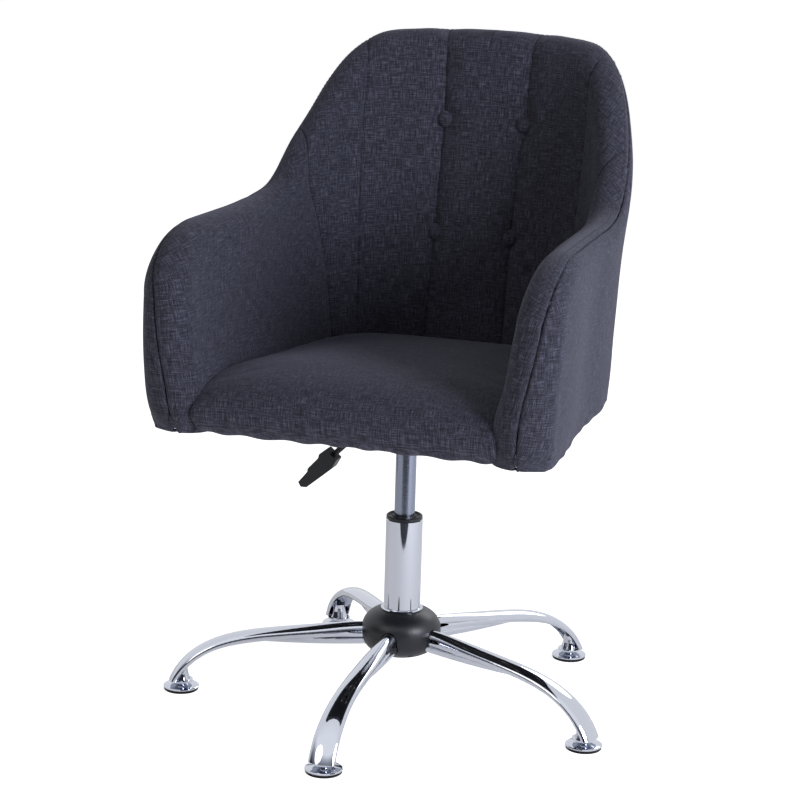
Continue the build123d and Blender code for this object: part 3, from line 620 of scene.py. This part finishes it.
# ---------------------------------------------------------------- operators
class CHAIR_OT_stage(bpy.types.Operator):
    """Adds the pale floor, the soft studio lights and the camera."""

    bl_idname = "chair.stage"
    bl_label = "Stage"

    def execute(self, context):
        scene = context.scene
        bm = bmesh.new()
        bmesh.ops.create_grid(bm, x_segments=8, y_segments=8, size=30)
        mesh = bpy.data.meshes.new("studio floor")
        bm.to_mesh(mesh)
        bm.free()
        material, tree, shader = start_material("pale painted floor")
        place = add(tree, "ShaderNodeTexCoord").outputs["Object"]
        mottle = grain_pattern(tree, place, (0.9, 0.9, 0.9), 2.0)
        pale = scene.chair_colours.floor
        stops = [(0.3, pale), (0.7, [v * 0.985 for v in pale[:3]] + [1])]
        shades = add(tree, "ShaderNodeValToRGB", {"stops": stops}, {"Fac": mottle})
        tree.links.new(shades.outputs["Color"], shader.inputs["Base Color"])
        set_shader(shader, Roughness=0.85, Specular_IOR_Level=0.1)
        ray = add(tree, "ShaderNodeLightPath").outputs["Is Camera Ray"]
        glow = add(tree, "ShaderNodeMapRange", {"To Min": 0.3, "To Max": 0.92}, {"Value": ray})
        tree.links.new(glow.outputs["Result"], shader.inputs["Emission Strength"])
        shader.inputs["Emission Color"].default_value = pale
        mesh.materials.append(material)
        floor = bpy.data.objects.new("studio_floor", mesh)
        scene.collection.objects.link(floor)
        self.light_world(scene)
        self.add_flag(scene)
        lamps = [
            ("key_softbox", (2.7, -1.3, 1.35), 1.5, 92, "eef1ff"),
            ("fill_softbox", (-1.6, -2.6, 1.9), 1.6, 12, "fff9f2"),
            ("back_softbox", (0.6, 2.6, 2.2), 1.8, 22, "ffffff"),
        ]
        for name, place, size, power, colour in lamps:
            data = bpy.data.lights.new(name, "AREA")
            data.shape, data.size, data.energy = "DISK", size, power
            data.color = linear(colour, alpha=False)
            lamp = bpy.data.objects.new(name, data)
            aim = Vector((0, 0, 0.5)) - Vector(place)
            lamp.matrix_world = Matrix.Translation(place) @ aim.to_track_quat("-Z", "Y").to_matrix().to_4x4()
            scene.collection.objects.link(lamp)
        self.add_camera(scene)
        scene.view_settings.view_transform = "Standard"
        return {"FINISHED"}

    def light_world(self, scene):
        """Even pale light, with a darker band near the horizon that only reflections see."""
        world = bpy.data.worlds.new("studio")
        scene.world = world
        world.use_nodes = True
        tree = world.node_tree
        tree.nodes.clear()
        direction = add(tree, "ShaderNodeTexCoord").outputs["Generated"]
        split = add(tree, "ShaderNodeSeparateXYZ", links={"Vector": direction})
        rising = [(0.0, (0.03, 0.032, 0.04, 1)), (0.25, (0.03, 0.032, 0.04, 1)), (0.48, (0.4, 0.42, 0.48, 1)),
                  (0.62, (1.05, 1.07, 1.12, 1))]
        dark_room = add(tree, "ShaderNodeValToRGB", {"stops": rising}, {"Fac": split.outputs["Z"]})
        ahead = add(tree, "ShaderNodeMapRange", {"From Min": 0.05, "From Max": -0.35},
                    {"Value": split.outputs["Y"]})
        room = add(tree, "ShaderNodeMixRGB", {"Color1": (0.9, 0.92, 0.96, 1)},
                   {"Fac": ahead.outputs["Result"], "Color2": dark_room.outputs["Color"]}).outputs["Color"]
        seen = add(tree, "ShaderNodeBackground", {"Strength": 1.0}, {"Color": room})
        even = add(tree, "ShaderNodeBackground", {"Color": linear("f4f5f8"), "Strength": 0.25})
        path = add(tree, "ShaderNodeLightPath").outputs["Is Glossy Ray"]
        both = add(tree, "ShaderNodeMixShader", links={0: path, 1: even.outputs[0], 2: seen.outputs[0]})
        add(tree, "ShaderNodeOutputWorld", links={"Surface": both.outputs[0]})

    def add_flag(self, scene):
        """Dark round cloth on the floor in front, seen only in the chrome."""
        bm = bmesh.new()
        place = Matrix.Translation((0.62, -1.9, 0.003))
        bmesh.ops.create_circle(bm, cap_ends=True, segments=48, radius=1.28, matrix=place)
        mesh = bpy.data.meshes.new("dark flag")
        bm.to_mesh(mesh)
        bm.free()
        material, tree, shader = start_material("black felt")
        set_shader(shader, Base_Color=(0.02, 0.02, 0.025, 1), Roughness=1.0)
        mesh.materials.append(material)
        flag = bpy.data.objects.new("dark_flag", mesh)
        flag.visible_camera = flag.visible_diffuse = flag.visible_shadow = False
        scene.collection.objects.link(flag)

    def add_camera(self, scene):
        """Long lens in front of the chair, above the seat and towards +X."""
        forward = Vector(CAMERA_FORWARD).normalized()
        level = Vector((0.950048, 0.312105, 0)).normalized()
        upright = level.cross(forward)
        right = level * cos(CAMERA_ROLL) + upright * sin(CAMERA_ROLL)
        up = upright * cos(CAMERA_ROLL) - level * sin(CAMERA_ROLL)
        data = bpy.data.cameras.new("camera")
        data.lens = LENS_MM
        data.sensor_width = 36
        camera = bpy.data.objects.new("camera", data)
        turn = Matrix((right, up, -forward)).transposed().to_4x4()
        camera.matrix_world = Matrix.Translation(CAMERA_PLACE) @ turn
        scene.collection.objects.link(camera)
        scene.camera = camera


class CHAIR_OT_hard_parts(bpy.types.Operator):
    """Gives every kept CAD node the finish of its material slot."""

    bl_idname = "chair.hard_parts"
    bl_label = "Metal, plastic and wood"

    def execute(self, context):
        finishes = hard_materials()
        for part in frame["record"]["subparts"]:
            finish = finishes.get(part["material_slot"])
            if finish:
                for slot in frame["nodes"][part["node"]].material_slots:
                    slot.material = finish
        return {"FINISHED"}


def front_guide(share):
    """Front border of an arm panel."""
    return front_edge(TUB_BOTTOM + (ARM_TOP - TUB_BOTTOM) * share)


def seam_guide(rows):
    """Border that follows a seam."""
    return lambda share: seam_at(rows, share)


def middle_guide(share):
    """Border at the middle of the back."""
    return BACK_MIDDLE + 0 * share


# rough widths of the panels, which set how many columns each has
OUTER_ARM_WIDTH, OUTER_BACK_WIDTH = 0.46, 0.28
INNER_ARM_WIDTH, SIDE_WIDTH, FLANK_WIDTH, MIDDLE_WIDTH = 0.50, 0.085, 0.135, 0.075


class CHAIR_OT_outer_covers(bpy.types.Operator):
    """Sews the outside covers: two arm panels and the back panel."""

    bl_idname = "chair.outer_covers"
    bl_label = "Outside covers"

    def execute(self, context):
        sizes, cloth = context.scene.chair_sizes, cloth_material()
        seam = seam_guide(REAR_SEAM)
        back = []
        for side, name in ((-1, "left"), (1, "right")):
            spacing = steps_between(OUTER_ARM_WIDTH, 0.0052, "roll", "seam")
            arm = shape_panel(side, True, front_guide, seam, spacing, sizes)
            piece = thicken(show(arm, "outside_arm_" + name, cloth), sizes.cloth_thickness)
            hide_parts("outer_arm_cover_" + name)
            spacing = steps_between(OUTER_BACK_WIDTH, 0.0058, "seam", "plain")
            back.append(shape_panel(side, True, seam, middle_guide, spacing, sizes))
        piece = thicken(show(join_bmeshes(back), "outside_back", cloth), sizes.cloth_thickness)
        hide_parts("outer_back_cover")
        return {"FINISHED"}


class CHAIR_OT_inner_pads(bpy.types.Operator):
    """Sews the padded inside: two arms and the channelled, tufted back."""

    bl_idname = "chair.inner_pads"
    bl_label = "Inside pads"

    def execute(self, context):
        sizes, cloth = context.scene.chair_sizes, cloth_material()
        arm_seam, side_seam, channel = (seam_guide(rows) for rows in (ARM_SEAM, SIDE_SEAM, CHANNEL))
        back = []
        for side, name in ((-1, "left"), (1, "right")):
            spacing = steps_between(INNER_ARM_WIDTH, 0.0048, "roll", "seam")
            arm = shape_panel(side, False, front_guide, arm_seam, spacing, sizes)
            piece = thicken(show(arm, "inside_arm_" + name, cloth), sizes.cloth_thickness)
            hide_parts("arm_pad_" + name)
            panels = [(arm_seam, side_seam, SIDE_WIDTH, "seam"), (side_seam, channel, FLANK_WIDTH, "seam"),
                      (channel, middle_guide, MIDDLE_WIDTH, "plain")]
            for near, far, length, end in panels:
                spacing = steps_between(length, 0.0045, "seam", end)
                back.append(shape_panel(side, False, near, far, spacing, sizes))
        piece = thicken(show(join_bmeshes(back), "inside_back", cloth), sizes.cloth_thickness)
        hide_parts("back_pad")
        return {"FINISHED"}


def evaluated_mesh(piece):
    """Mesh of a piece with its modifiers applied."""
    graph = bpy.context.evaluated_depsgraph_get()
    return bpy.data.meshes.new_from_object(piece.evaluated_get(graph))


def apply_modifiers(piece):
    """Keeps the mesh that the modifiers make, and drops them."""
    mesh = evaluated_mesh(piece)
    piece.modifiers.clear()
    piece.data = mesh


def puff(piece, pinned, pressure, cap):
    """Plumps a closed form by a short cloth simulation that moves no point further than cap."""
    start = [vert.co.copy() for vert in piece.data.vertices]
    group = piece.vertex_groups.new(name="held")
    group.add([v.index for v in piece.data.vertices if pinned(v.co)], 1.0, "REPLACE")
    cloth = piece.modifiers.new("puff", "CLOTH")
    cloth.settings.use_pressure = True
    cloth.settings.uniform_pressure_force = pressure
    cloth.settings.effector_weights.gravity = 0
    cloth.settings.vertex_group_mass = "held"
    cloth.settings.quality = 5
    cloth.settings.tension_stiffness = 12
    cloth.settings.compression_stiffness = 12
    cloth.collision_settings.use_collision = False
    scene = bpy.context.scene
    for number in range(1, 21):
        scene.frame_set(number)
    mesh = evaluated_mesh(piece)
    for vert, old in zip(mesh.vertices, start):
        move = vert.co - old
        if move.length > cap:
            vert.co = old + move.normalized() * cap
    piece.modifiers.clear()
    piece.vertex_groups.clear()
    piece.data = mesh
    scene.frame_set(1)


def cushion_drop(x, y):
    """How much lower than its middle the cushion lies beside the arms and at the back."""
    sideways = min(abs(x) / 0.195, 1.0)
    return 0.019 * sideways ** 5 + 0.003 * max(0.0, (y - 0.15) / 0.09) ** 2


def held_down(place):
    """Whether a point of the cushion rests on the board, the arms or the back."""
    return place.z < 0.432 or abs(place.x) > 0.190 or place.y > 0.225


class CHAIR_OT_seat_cushion(bpy.types.Operator):
    """Plumps the seat cushion from its CAD form by cloth simulation."""

    bl_idname = "chair.seat_cushion"
    bl_label = "Seat cushion"

    def execute(self, context):
        sizes = context.scene.chair_sizes
        bm = bmesh.new()
        bm.from_mesh(frame["nodes"]["seat_cushion"].data)
        bmesh.ops.remove_doubles(bm, verts=bm.verts, dist=0.02 * MM)
        piece = show(bm, "seat_cushion_cover", cloth_material())
        remesh = piece.modifiers.new("even mesh", "REMESH")
        remesh.mode, remesh.voxel_size = "VOXEL", 0.006
        apply_modifiers(piece)
        for vert in piece.data.vertices:
            x, y, z = vert.co
            lift = min(max((z - 0.43) / 0.05, 0.0), 1.0)
            vert.co.z -= lift * (cushion_drop(x, y) + 0.004)
            apron = min(max((-0.225 - y) / 0.02, 0.0), 1.0) * (1 - lift * 0.7)
            vert.co.x *= 1 + 0.055 * apron
        puff(piece, held_down, sizes.puff_pressure, PUFF_CAP)
        bm = bmesh.new()
        bm.from_mesh(piece.data)
        for _ in range(3):
            bmesh.ops.smooth_vert(bm, verts=bm.verts, factor=0.5, use_axis_x=True, use_axis_y=True,
                                  use_axis_z=True)
        for vert in bm.verts:
            x, y, z = vert.co
            if y < -0.2 and z < 0.47:
                pull = 0.0012 * sin(x * 2 * pi / 0.047 + sin(x * 31)) * min(max((0.43 - z) / 0.02, 0), 1)
                vert.co.y += pull
                vert.co.z += pull
            vert.co += Vector((0, 0, 0.0012 * noise.noise(Vector((x * 10, y * 10, 1.5)))))
        cloth = bm.loops.layers.uv.new("cloth")
        for face in bm.faces:
            for loop in face.loops:
                x, y, z = loop.vert.co
                loop[cloth].uv = (x, y + z + 1.0)
        bm.to_mesh(piece.data)
        bm.free()
        piece.data.shade_smooth()
        if not piece.data.materials:
            piece.data.materials.append(cloth_material())
        detail = piece.modifiers.new("finer mesh", "SUBSURF")
        detail.levels = detail.render_levels = 1
        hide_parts("seat_cushion")
        return {"FINISHED"}


class CHAIR_OT_buttons(bpy.types.Operator):
    """Sets the four covered buttons in the tufts of the back."""

    bl_idname = "chair.buttons"
    bl_label = "Covered buttons"

    def execute(self, context):
        sizes = context.scene.chair_sizes
        back = bpy.data.objects["inside_back"]
        radius = sizes.button_radius
        outline = [(0, 0.42), (0.3, 0.40), (0.58, 0.33), (0.8, 0.21), (0.93, 0.07), (1.0, -0.08), (0.97, -0.2),
                   (0.86, -0.3)]
        whole = bmesh.new()
        cloth = whole.loops.layers.uv.new("cloth")
        for side in (-1, 1):
            for z in BUTTON_HEIGHTS:
                verts = [whole.verts.new((r * radius, 0, h * radius)) for r, h in outline]
                edges = [whole.edges.new(pair) for pair in zip(verts, verts[1:])]
                bmesh.ops.spin(whole, geom=verts + edges, cent=(0, 0, 0), axis=(0, 0, 1), angle=2 * pi,
                               steps=32, use_merge=True)
                fresh = [v for v in whole.verts if not v.tag]
                share = (z - TUB_BOTTOM) / (edge_height(BACK_MIDDLE) - TUB_BOTTOM)
                x = float(wall_point(seam_at(CHANNEL, share), z, INNER)[0])
                middle = back.ray_cast(Vector((side * x, 0, z)), Vector((0, 1, 0)))[1]
                lean = Vector(BUTTON_LEAN)
                turn = lean.to_track_quat("Z", "Y").to_matrix().to_4x4()
                place = Matrix.Translation(middle + lean * BUTTON_STAND) @ turn
                bmesh.ops.transform(whole, matrix=place, verts=fresh)
                for vert in fresh:
                    vert.tag = True
        bmesh.ops.remove_doubles(whole, verts=whole.verts, dist=0.02 * MM)
        bmesh.ops.recalc_face_normals(whole, faces=whole.faces)
        for face in whole.faces:
            for loop in face.loops:
                loop[cloth].uv = (loop.vert.co.x + loop.vert.co.y * 0.3, loop.vert.co.z)
        piece = show(whole, "covered_buttons", cloth_material())
        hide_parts("back_buttons")
        return {"FINISHED"}


class CHAIR_OT_stitches(bpy.types.Operator):
    """Runs the topstitching beside the edge seam, one short thread after another."""

    bl_idname = "chair.stitches"
    bl_label = "Topstitching"

    def execute(self, context):
        sizes = context.scene.chair_sizes
        pads = [bpy.data.objects[name] for name in ("inside_arm_left", "inside_arm_right", "inside_back")]
        step = np.diff(EDGE_LINE, axis=0)
        run = np.concatenate([[0], np.cumsum(np.hypot(step[:, 0], step[:, 1]))])
        first = np.interp(TUB_BOTTOM + 0.004, EDGE_LINE[:60, 1], run[:60])
        last = np.interp(BACK_MIDDLE, EDGE_LINE[:, 0][120:], run[120:])
        count = int((last - first) / sizes.stitch_pitch)
        places = np.linspace(first, last, count)
        s = np.interp(places, run, EDGE_LINE[:, 0])
        z = np.interp(places, run, EDGE_LINE[:, 1])
        along = np.stack([np.gradient(s), np.gradient(z)], axis=1)
        along /= np.linalg.norm(along, axis=1)[:, None]
        inside = np.stack([along[:, 1], -along[:, 0]], axis=1)
        roll = roll_radius(s, z)
        seam = np.radians(np.interp(z, *zip(*SEAM_TURN)))
        depth = roll * (1 - np.cos(sizes.stitch_offset / roll / (pi / 2 + seam) * pi / 2))
        s, z = s + inside[:, 0] * depth, z + inside[:, 1] * depth
        x, y, z = shell(s, z, depth, inside, False).T
        whole = bmesh.new()
        for side in (-1, 1):
            track = [Vector((side * a, b, c)) for a, b, c in zip(x, y, z)]
            for before, here, after in zip(track, track[1:], track[2:]):
                found = [pad.closest_point_on_mesh(here) for pad in pads]
                point, normal = min(((f[1], f[2]) for f in found if f[0]), key=lambda f: (f[0] - here).length)
                ahead = (after - before).normalized()
                ahead = (ahead - normal * ahead.dot(normal)).normalized()
                turn = Matrix((ahead, normal.cross(ahead), normal)).transposed().to_4x4()
                size = Matrix.Diagonal((sizes.stitch_pitch * 0.42, 0.55 * MM, 0.4 * MM, 1))
                bmesh.ops.create_uvsphere(whole, u_segments=6, v_segments=4, radius=1,
                                          matrix=Matrix.Translation(point + normal * 0.1 * MM) @ turn @ size)
        thread = coated_material("bonded sewing thread", "15161b", "23242c", 0.6, 0.3 * MM, 0.05 * MM, 0.3)
        piece = show(whole, "edge_topstitching", thread)
        return {"FINISHED"}


class CHAIR_OT_dust_cover(bpy.types.Operator):
    """Lays the thin black sheet under the tub, sagging in from its edges."""

    bl_idname = "chair.dust_cover"
    bl_label = "Dust cover"

    def execute(self, context):
        low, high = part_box("dust_cover")
        bm = bmesh.new()
        bmesh.ops.create_grid(bm, x_segments=60, y_segments=70, size=1)
        half, front, rear = high[0] - 0.002, low[1] - 0.005, high[1]
        for vert in bm.verts:
            u, v = vert.co.x, (vert.co.y + 1) / 2
            y = front + (rear * 0.985 - front) * v
            width = half * (1 - max(y / rear, 0) ** 3) ** (1 / 3)
            sag = (1 - u ** 8) * min(v * 8, 1, (1 - v) * 8)
            ripple = 0.0004 * noise.noise(Vector((u * 6, v * 7, 0)))
            vert.co = (u * width, y, high[2] - 0.0002 - 0.0007 * sag + ripple)
        cloth = bm.loops.layers.uv.new("cloth")
        for face in bm.faces:
            for loop in face.loops:
                loop[cloth].uv = loop.vert.co.xy
        bm.normal_update()
        if sum(face.normal.z for face in bm.faces) > 0:
            bmesh.ops.reverse_faces(bm, faces=bm.faces)
        sheet = bpy.data.materials["spun-bonded black sheet"]
        piece = thicken(show(bm, "dust_sheet", sheet), 0.0005)
        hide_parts("dust_cover")
        return {"FINISHED"}


class CHAIR_PT_panel(bpy.types.Panel):
    """Lists the pieces of the chair and their settings."""

    bl_label = "Tub Chair"
    bl_idname = "CHAIR_PT_panel"
    bl_space_type = "VIEW_3D"
    bl_region_type = "UI"
    bl_category = "Tub Chair"

    def draw(self, context):
        for kind in OPERATORS:
            self.layout.operator(kind.bl_idname)
        for group in (context.scene.chair_sizes, context.scene.chair_colours):
            for name in group.__annotations__:
                self.layout.prop(group, name)


OPERATORS = (
    CHAIR_OT_stage, CHAIR_OT_hard_parts, CHAIR_OT_outer_covers, CHAIR_OT_inner_pads, CHAIR_OT_seat_cushion,
    CHAIR_OT_buttons, CHAIR_OT_stitches, CHAIR_OT_dust_cover,
)
CLASSES = (ChairSizes, ChairColours, *OPERATORS, CHAIR_PT_panel)


def register():
    for kind in CLASSES:
        bpy.utils.register_class(kind)
    bpy.types.Scene.chair_sizes = bpy.props.PointerProperty(type=ChairSizes)
    bpy.types.Scene.chair_colours = bpy.props.PointerProperty(type=ChairColours)


def unregister():
    del bpy.types.Scene.chair_colours
    del bpy.types.Scene.chair_sizes
    for kind in reversed(CLASSES):
        bpy.utils.unregister_class(kind)


def main():
    """Builds the whole chair."""
    register()
    for kind in OPERATORS:
        group, name = kind.bl_idname.split(".")
        getattr(getattr(bpy.ops, group), name)()


if __name__ == "__main__":
    main()
